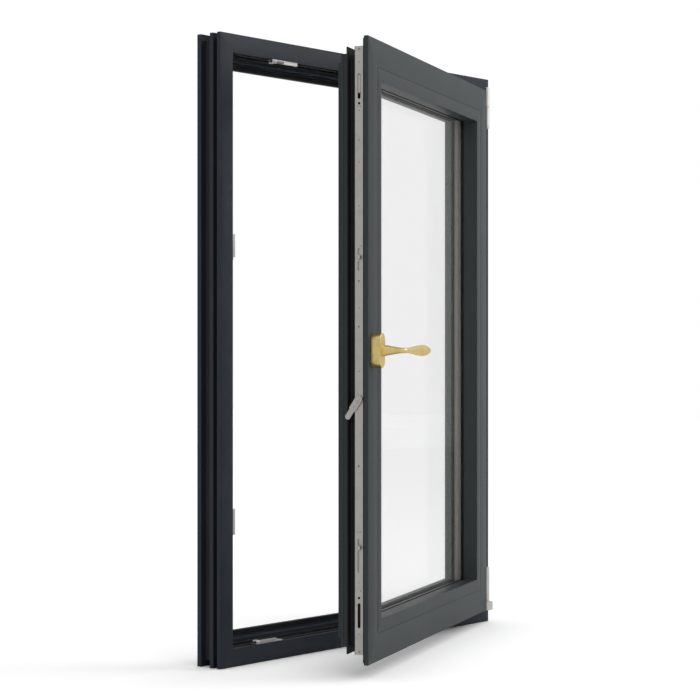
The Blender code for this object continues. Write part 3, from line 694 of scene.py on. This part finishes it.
class WINDOW_OT_handle(WindowBuilder, bpy.types.Operator):
    """Brass lever handle, its collar, and the oval rosette on the lock stile"""
    bl_idname = "window.handle"
    bl_label = "Handle"

    def execute(self, context):
        x0 = SASH_LEFT + HANDLE_S
        spine = lever_spine(context.scene.window_shapes.lever_steps)
        s, e, ds, de, tall, thick = [c[:, None] for c in spine.T]
        t = np.linspace(0, 2 * np.pi, 56, endpoint=False)[None, :]
        across, upward = thick * np.cos(t), tall * np.sin(t)
        points = np.stack([x0 + s - de * across, SASH_Y + e + ds * across, MID + upward], -1)
        piece("lever_grip", tube(points), "handle", brass(), ["handle_lever"])

        def on_face(a, b, h):
            return x0 + a, SASH_Y - h, MID + b

        rim = slab(oval(36, 80), 0.3, ROSETTE_DEPTH, 0.9, on_face)
        piece("rosette_shell", rim, "sash", brass(), ["rosette_cover"])
        collar = turned([(0.5, -0.15), (15.2, -0.15), (15.6, 0.3), (15.4, 1.1), (14.6, 1.5),
                         (0.5, 1.5)], (x0, SASH_Y - ROSETTE_DEPTH - 0.1, MID), (0, -1, 0), 64)
        piece("lever_collar", collar, "handle", brass())
        return {"FINISHED"}


def wide_plate(a0, a1, b0, b1, corner=1.2):
    """A rectangle with curved corners."""
    return rounded([(a0, b0), (a1, b0), (a1, b1), (a0, b1)], corner, 5)


class WINDOW_OT_keepers(WindowBuilder, bpy.types.Operator):
    """Keepers on the frame: floor plate, hook wall, screw heads, and on two keepers solid barrel
    blocks with dark discs of painted shade for bores
    """
    bl_idname = "window.keepers"
    bl_label = "Keepers"

    def execute(self, context):
        for name in ("keeper_jamb_upper", "keeper_jamb_lower", "keeper_head", "keeper_sill"):
            low, high = node_box(name)
            if "jamb" in name:
                def place(u, y, r):
                    return -HALF_WIDTH + u, y, r
                run = (low[2], high[2])
                up = (1, 0, 0)
            elif "head" in name:
                def place(u, y, r):
                    return r, y, HEIGHT - u
                run = (low[0], high[0])
                up = (0, 0, -1)
            else:
                def place(u, y, r):
                    return r, y, u
                run = (low[0], high[0])
                up = (0, 0, 1)
            self.keeper(name, place, run, up)
        return {"FINISHED"}

    def keeper(self, name, place, run, up):
        """Floor plate, a room-side hook wall and a lower outdoor wall, clear of the cams' way."""
        r0, r1 = run
        long_one = r1 - r0 > 80
        wall = (r0, r1)
        if name == "keeper_jamb_upper":
            wall = (r0 + 7, r1)
        elif name == "keeper_head":
            wall = (r0 + 40, r1)
        elif name == "keeper_sill":
            wall = (r0 + 16, r0 + 69)

        def flat(a, b, h):
            return place(43.8 + h, a, b)

        barrels = (7.0, 16.4)                   # depths of the barrel blocks, whose bores are only dark discs of painted shade
        parts = [slab(wide_plate(1, 22, r0, r1, 1.6), 0, 2.4, 0.4, flat),
                 slab(wide_plate(1, 5.6, wall[0], wall[1], 1.4), 2.3, 8.7, 0.6, flat),
                 slab(wide_plate(20.3, 22, r0 + 2, r1 - 2, 0.8), 2.3, 5.2, 0.5, flat)]
        if long_one:
            along = np.array(place(0, 0, 1.0)) - np.array(place(0, 0, 0.0))
            for depth in barrels:
                parts.append(turned([(0.2, 0.0), (4.4, 0.0), (4.7, 0.4), (4.7, 15.6), (4.4, 16.0),
                                     (0.2, 16.0)], place(47.9, depth, r0 + 1), along, 32))
            for i in range(5):
                at = r1 - 7 - 9.5 * i
                parts.append(slab(wide_plate(6, 18.6, at - 2.6, at + 2.6, 1.0), 2.2, 2.9, 0.2,
                                  flat))
        piece(name + "_hook", merge(parts), "frame", lock_steel(), [name])
        heads = [screw_head(place(45.95, 13.0, r0 + (r1 - r0) * share), up, 3.4, 0.7)
                 for share in (0.22, 0.78)]
        piece(name + "_screws", merge(heads), "frame", casting())
        if long_one:
            # Dark discs on the blocks' ends: painted shade standing in for bores that the solid blocks
            # don't have.
            bore_shade_discs = [turned([(0.2, 0.0), (4.15, 0.0), (4.15, 0.6), (0.2, 0.6)],
                            place(47.9, depth, r0 + 0.5), along, 32) for depth in barrels]
            piece(name + "_plugs", merge(bore_shade_discs), "frame", packer())


def cam_shell(centre, out):
    """A mushroom cam: stem, undercut neck and a domed head with a worn rim."""
    profile = [(0.3, -22.9), (3.0, -22.9), (3.0, -15.2), (2.6, -14.8), (5.1, -14.7), (5.5, -14.3),
               (5.5, -13.0), (5.2, -12.4), (4.2, -12.05), (2.4, -12.0), (2.1, -12.6), (0.3, -12.6)]
    heights = [(r, -h) for r, h in profile]
    return turned(heights, centre, out, 40)


class WINDOW_OT_lock_gear(WindowBuilder, bpy.types.Operator):
    """Locking rods with mushroom cams, the faceplate's screws and marks, and the safety lever"""
    bl_idname = "window.lock_gear"
    bl_label = "Lock gear"

    def execute(self, context):
        steel = lock_steel()
        rod = slab(wide_plate(24.2, 33.8, MID - ROD_REACH, MID + ROD_REACH, 2.5), 23.2, 25.6, 0.3,
                   lambda a, b, h: (SASH_LEFT + h, SASH_Y + a, b))
        piece("drive_rod_bar", rod, "drive_rod", steel, ["drive_rod"])
        for name in ("cam_jamb_upper", "cam_jamb_lower"):
            low, high = node_box(name)
            cam = cam_shell((SASH_LEFT, SASH_Y + CAM_E, (low[2] + high[2]) / 2), (1, 0, 0))
            piece(name + "_mushroom", cam, "drive_rod", steel, [name])
        slide = slab(wide_plate(26.3, 31.7, MID + 588, MID + 630, 2.2), 20.4, 22.2, 0.2,
                     lambda a, b, h: (SASH_LEFT + h, SASH_Y + a, b))
        piece("corner_drive_slide", slide, "sash", steel)
        for name, inward, edge in (("head_rod", -1, HEIGHT - MARGIN), ("sill_rod", 1, MARGIN)):
            cam_x = -HALF_WIDTH + CAM_RUN[name]
            rod = slab(wide_plate(SASH_LEFT + 60, cam_x + 60, 24.2, 33.8, 2.5), 23.2, 25.6,
                       0.3, lambda a, b, h, i=inward, g=edge: (a, SASH_Y + b, g + i * h))
            cam = cam_shell((cam_x, SASH_Y + CAM_E, edge), (0, 0, inward))
            piece(name + "_and_cam", merge([rod, cam]), name, steel, [name])
        self.faceplate_marks()
        self.safety_lever(steel)
        return {"FINISHED"}

    def faceplate_marks(self):
        """Screws near the faceplate's ends, and pressed rivets between them."""
        x = SASH_LEFT + 19.9
        heads = [screw_head((x + 0.5, SASH_Y + CAM_E, MID + z), (-1, 0, 0), 2.9, 0.9)
                 for z in FACEPLATE_SCREWS]
        piece("faceplate_screws", merge(heads), "sash", casting())
        rivets = [turned([(0.2, 0), (1.7, 0), (1.6, 0.25), (1.0, 0.45), (0.2, 0.5)],
                         (x + 0.05, SASH_Y + e, MID + z), (-1, 0, 0), 24)
                  for z, e in RIVETS]
        piece("faceplate_rivets", merge(rivets), "sash", casting())

    def safety_lever(self, steel):
        """A stepped tongue: a wide body, a shoulder, and a narrow round tip that stands proud."""
        turn = np.array([[math.cos(SAFETY_TILT), -math.sin(SAFETY_TILT)],
                         [math.sin(SAFETY_TILT), math.cos(SAFETY_TILT)]])

        def plate(outline, low, high, edge):
            def place(a, b, h):
                y, z = turn @ np.stack([a, b])
                return SASH_LEFT + 19.2 - h, SASH_Y + SAFETY_E + y, MID + SAFETY_Z + z
            return slab(outline, low, high, edge, place)

        a = np.linspace(0, np.pi, 24)
        body = np.concatenate([
            np.stack([9.0 * np.cos(a), 8.0 + 9.0 * np.sin(a)], -1),
            rounded([(-9.0, 8.0), (-9.0, -20.0), (-6.6, -23.0), (6.6, -23.0), (9.0, -20.0),
                     (9.0, 8.0)], 0.6)[4:-4]])
        tongue = np.concatenate([
            np.stack([6.6 * np.cos(a), -14.0 + 6.6 * np.sin(a)], -1),
            np.stack([-6.6 * np.cos(a), -40.0 - 6.6 * np.sin(a)], -1)])
        piece("safety_tongue", merge([plate(body, 0.0, 2.5, 0.4), plate(tongue, 0.6, 2.9, 0.5)]),
              "safety_lever", steel, ["safety_lever"])
        y, z = turn @ np.array([0.0, -13.0])
        dot = turned([(0.2, 0), (1.9, 0), (1.7, 0.4), (0.2, 0.5)],
                     (SASH_LEFT + 16.7, SASH_Y + SAFETY_E + y, MID + SAFETY_Z + z), (-1, 0, 0), 24)
        piece("safety_rivet", dot, "safety_lever", casting())
        pin = turned([(0.3, -0.5), (2.4, -0.5), (2.4, 3.1), (3.6, 3.2), (3.8, 3.6), (3.4, 4.1),
                      (1.4, 4.3), (1.2, 3.9), (0.3, 3.9)],
                     (SASH_LEFT + 19.7, SASH_Y + SAFETY_E, MID + SAFETY_Z), (-1, 0, 0))
        piece("safety_pivot", pin, "sash", steel, ["safety_lever_pin"])


class WINDOW_OT_hinges(WindowBuilder, bpy.types.Operator):
    """Turned hinge sleeves with end caps, leaves with screws, and the pins through them"""
    bl_idname = "window.hinges"
    bl_label = "Hinges"

    def sleeve(self, low, high):
        """A barrel with rounded ends and a fine groove near each end."""
        r = 6.5
        g = min(4.0, (high - low) / 5)
        profile = [(3.5, low), (r - 0.9, low), (r - 0.25, low + 0.25), (r, low + 0.9),
                   (r, low + g), (r - 0.4, low + g + 0.3), (r - 0.4, low + g + 0.7),
                   (r, low + g + 1.0), (r, high - g - 1.0), (r - 0.4, high - g - 0.7),
                   (r - 0.4, high - g - 0.3), (r, high - g), (r, high - 0.9),
                   (r - 0.25, high - 0.25), (r - 0.9, high), (3.5, high)]
        steps = 56
        points = turned(profile, (AXIS[0], AXIS[1], 0), (0, 0, 1), steps)[0]
        return points, quads(len(profile), steps, wrap_rows=True).tolist()

    def execute(self, context):
        steel = hinge_steel()
        for name in ("top_hinge_frame_leaf", "bottom_hinge_frame_leaf"):
            low, high = node_box(name)
            z0, z1 = low[2], high[2]
            plate = slab(wide_plate(AXIS[0] + 0.5, AXIS[0] + 20, z0 + 0.5, z1 - 0.5, 2.0),
                         0.3, 3.2, 0.6, lambda a, b, h: (a, -h, b))
            neck = slab(wide_plate(AXIS[0] + 1, AXIS[0] + 7, z0 + 1, z1 - 1, 1.0), 1.0, 14.0,
                        0.5, lambda a, b, h: (a, -h, b))
            screws = [screw_head((AXIS[0] + 14, -3.1, z), (0, -1, 0), 3.6, 1.6)
                      for z in ((z0 + 9, z1 - 9) if z1 - z0 > 30 else ((z0 + z1) / 2,))]
            shells = [self.sleeve(z0, z1), plate, neck]
            if name.startswith("bottom"):
                shells[0] = turned([(0.3, z0), (8.0, z0), (9.0, z0 + 1.0), (9.0, z1 - 1.0),
                                    (8.0, z1), (0.3, z1)], (AXIS[0], AXIS[1], 0), (0, 0, 1), 56)
                shells.append(slab(wide_plate(AXIS[0], AXIS[0] + 15, -AXIS[1] + 9, 0.3, 1.2),
                                   z0 + 0.4, z1 - 0.4, 0.8, lambda a, b, h: (a, -b, h)))
            piece(name + "_knuckle", merge(shells), "frame", steel, [name])
            piece(name + "_screws", merge(screws), "frame", casting())
        for name in ("top_hinge_sash_leaf", "bottom_hinge_sash_leaf"):
            low, high = node_box(name)
            z0, z1 = low[2], high[2]
            top = min(z1, HEIGHT - MARGIN - 1)
            foot = slab(wide_plate(SASH_Y + 0.8, SASH_Y + 9.2, z0 + 0.5, top - 0.5, 1.2),
                        0.3, 2.6, 0.5, lambda a, b, h: (SASH_RIGHT + h, a, b))
            arm = slab(wide_plate(SASH_RIGHT + 0.3, AXIS[0] - 1, z0 + 1, top - 1, 0.8),
                       -SASH_Y - 4.0, -SASH_Y - 1.0, 0.4, lambda a, b, h: (a, -h, b))
            piece(name + "_knuckle", merge([self.sleeve(z0, z1), foot, arm]), "sash",
                  steel, [name])
        for name in ("top_hinge_pin", "bottom_hinge_pin"):
            low, high = node_box(name)
            z0, z1 = low[2], high[2]
            pin = turned([(0.3, z0), (2.4, z0), (3.2, z0 + 0.8), (3.2, z1 - 0.8), (2.4, z1),
                          (1.0, z1), (0.8, z1 - 0.6), (0.3, z1 - 0.6)], (AXIS[0], AXIS[1], 0),
                         (0, 0, 1), 40)
            piece(name + "_turned", pin, "frame", steel, [name])
        return {"FINISHED"}


class WINDOW_OT_inner_parts(WindowBuilder, bpy.types.Operator):
    """Finishes of the pieces that keep their own shape"""
    bl_idname = "window.inner_parts"
    bl_label = "Inner parts"

    def execute(self, context):
        looks = {"lock_faceplate": lock_steel(), "gearbox_case": casting(), "pinion": lock_steel(),
                 "handle_spindle": lock_steel(), "rosette_base": casting(),
                 "rosette_screw_lower": lock_steel(), "rosette_screw_upper": lock_steel(),
                 "setting_block_lock": packer(), "setting_block_hinge": packer()}
        for name, look in looks.items():
            for slot in frame["nodes"][name].material_slots:
                slot.material = look
        return {"FINISHED"}


class WINDOW_OT_stage(WindowBuilder, bpy.types.Operator):
    """Pale floor, soft studio light and the camera"""
    bl_idname = "window.stage"
    bl_label = "Stage"

    def execute(self, context):
        settings = context.scene.window_stage
        self.floor(settings)
        self.sky(settings)
        self.light("key", KEY_PLACE, LOOKED_AT, KEY_SIZE, settings.key)
        data = bpy.data.cameras.new("camera")
        data.sensor_width = 36.0
        data.lens = settings.lens
        camera = bpy.data.objects.new("camera", data)
        camera.location = CAMERA_PLACE
        camera.rotation_euler = [math.radians(degrees) for degrees in CAMERA_TURN]
        context.collection.objects.link(camera)
        context.scene.camera = camera
        context.scene.view_settings.view_transform = "Standard"
        return {"FINISHED"}

    def floor(self, settings):
        mesh = bpy.data.meshes.new("floor")
        corners = [(x * FLOOR_REACH, y * FLOOR_REACH, -FLOOR_DROP)
                   for x, y in ((-1, -1), (1, -1), (1, 1), (-1, 1))]
        mesh.from_pydata(corners, [], [(0, 1, 2, 3)])
        made = bpy.data.objects.new("floor", mesh)
        look = bpy.data.materials.new("Pale floor")
        look.use_nodes = True
        tree = look.node_tree
        shader = tree.nodes["Principled BSDF"]
        shader.inputs["Base Color"].default_value = (*settings.floor, 1)
        shader.inputs["Roughness"].default_value = 0.75
        level = maths(tree, "MULTIPLY", settings.glow, self.through_glass(tree))
        gain = node(tree, "ShaderNodeCombineColor", Red=level, Green=level, Blue=level)
        white = node(tree, "ShaderNodeBsdfDiffuse", Color=gain.outputs[0])
        path = node(tree, "ShaderNodeLightPath")
        feed(tree, shaded(tree, path.outputs["Is Camera Ray"], shader, white),
             tree.nodes["Material Output"].inputs["Surface"])
        mesh.materials.append(look)
        bpy.context.collection.objects.link(made)

    def through_glass(self, tree):
        """1 seen straight, less for every surface of glass between."""
        path = node(tree, "ShaderNodeLightPath")
        return maths(tree, "POWER", GLASS_PASSES, path.outputs["Transparent Depth"])

    def sky(self, settings):
        """White all round for the eye; for light, brighter in front and above."""
        world = bpy.data.worlds.new("studio")
        bpy.context.scene.world = world
        world.use_nodes = True
        tree = world.node_tree
        tree.nodes.clear()
        where = node(tree, "ShaderNodeTexCoord")
        side = node(tree, "ShaderNodeVectorMath", operation="DOT_PRODUCT")
        side.inputs[1].default_value = SKY_BRIGHTEST
        feed(tree, where.outputs["Generated"], side.inputs[0])
        shade = spread(tree, side.outputs["Value"], -0.3, 0.8, 0.8, 1.08)
        lit = node(tree, "ShaderNodeBackground", Color=(1, 1, 1, 1),
                   Strength=maths(tree, "MULTIPLY", shade, settings.sky))
        seen = node(tree, "ShaderNodeBackground", Color=(1, 1, 1, 1),
                    Strength=self.through_glass(tree))
        path = node(tree, "ShaderNodeLightPath")
        direct = maths(tree, "MAXIMUM", path.outputs["Is Camera Ray"],
                       path.outputs["Is Transmission Ray"])
        feed(tree, shaded(tree, direct, lit, seen),
             node(tree, "ShaderNodeOutputWorld").inputs["Surface"])

    def light(self, name, place, target, size, power):
        data = bpy.data.lights.new(name, "AREA")
        data.size = size
        data.energy = power
        made = bpy.data.objects.new(name, data)
        made.location = place
        made.rotation_euler = (Vector(target) - Vector(place)).to_track_quat("-Z", "Y").to_euler()
        bpy.context.collection.objects.link(made)


OPERATORS = (WINDOW_OT_frame_profiles, WINDOW_OT_sash_profiles, WINDOW_OT_gaskets,
             WINDOW_OT_glass_unit, WINDOW_OT_handle, WINDOW_OT_keepers, WINDOW_OT_lock_gear,
             WINDOW_OT_hinges, WINDOW_OT_inner_parts, WINDOW_OT_stage)


class WINDOW_PT_panel(bpy.types.Panel):
    """The window's steps and settings"""
    bl_idname = "WINDOW_PT_panel"
    bl_label = "Casement window"
    bl_space_type = "VIEW_3D"
    bl_region_type = "UI"
    bl_category = "Window"

    def draw(self, context):
        for operator in OPERATORS:
            self.layout.operator(operator.bl_idname)
        for group_name in SETTINGS:
            settings = getattr(context.scene, group_name)
            for key in settings.__annotations__:
                self.layout.prop(settings, key)


SETTINGS = {"window_coats": CoatSettings, "window_metals": MetalSettings,
            "window_shapes": ShapeSettings, "window_stage": StageSettings}


def register():
    for cls in (*SETTINGS.values(), *OPERATORS, WINDOW_PT_panel):
        bpy.utils.register_class(cls)
    for name, cls in SETTINGS.items():
        setattr(bpy.types.Scene, name, bpy.props.PointerProperty(type=cls))


def unregister():
    for name in SETTINGS:
        delattr(bpy.types.Scene, name)
    for cls in (WINDOW_PT_panel, *reversed(OPERATORS), *SETTINGS.values()):
        bpy.utils.unregister_class(cls)


def main():
    register()
    for operator in OPERATORS:
        family, _, step = operator.bl_idname.partition(".")
        getattr(getattr(bpy.ops, family), step)()


if __name__ == "__main__":
    main()
